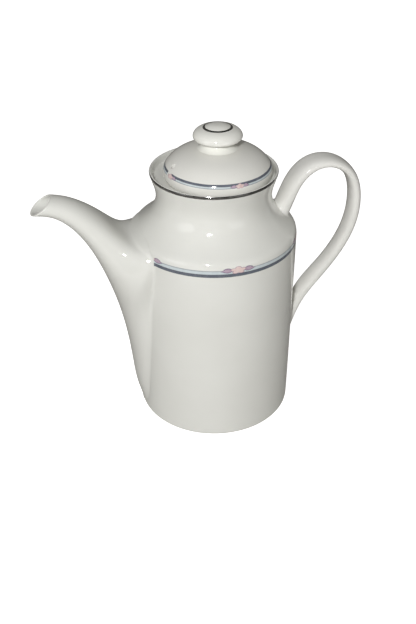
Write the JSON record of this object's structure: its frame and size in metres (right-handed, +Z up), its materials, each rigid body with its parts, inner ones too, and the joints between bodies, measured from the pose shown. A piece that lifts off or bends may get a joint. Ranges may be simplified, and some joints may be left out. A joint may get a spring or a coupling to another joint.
{
  "type": "coffee pot",
  "caption": "Glazed china coffee pot with a moulded spout, a loop handle, a lift-off lid and a printed band.",
  "frame": {"origin": "centre of the foot, on the surface the pot stands on", "axes": "+Z up, spout along -X, handle along +X, left and right halves either side of Y = 0"},
  "size_m": [0.2203, 0.1108, 0.209],
  "materials": {
    "glaze": "gloss white glaze",
    "platinum": "bright fired metal line",
    "print_dark": "gloss slate print",
    "print_blue": "gloss pale blue print",
    "print_grey": "gloss grey print",
    "petal_pink": "gloss pink print",
    "leaf_mauve": "gloss mauve print"
  },
  "bodies": {
    "pot": {"pot_body": "glaze", "spout": "glaze", "handle": "glaze", "rim_line": "platinum", "body_dark_line": "print_dark", "body_blue_band": "print_blue", "body_fine_line": "print_grey", "body_flower_petals": "petal_pink", "body_flower_leaves": "leaf_mauve"},
    "lid": {"lid": "glaze", "lid_knob": "glaze", "knob_line": "platinum", "lid_dark_line": "print_dark", "lid_blue_band": "print_blue", "lid_fine_line": "print_grey", "lid_flower_petals": "petal_pink", "lid_flower_leaves": "leaf_mauve"}
  },
  "joints": [
    {"name": "lid_lift", "type": "slide", "parent": "pot", "child": "lid", "axis": [0, 0, 1], "range_m": [0, 0.06]}
  ]
}
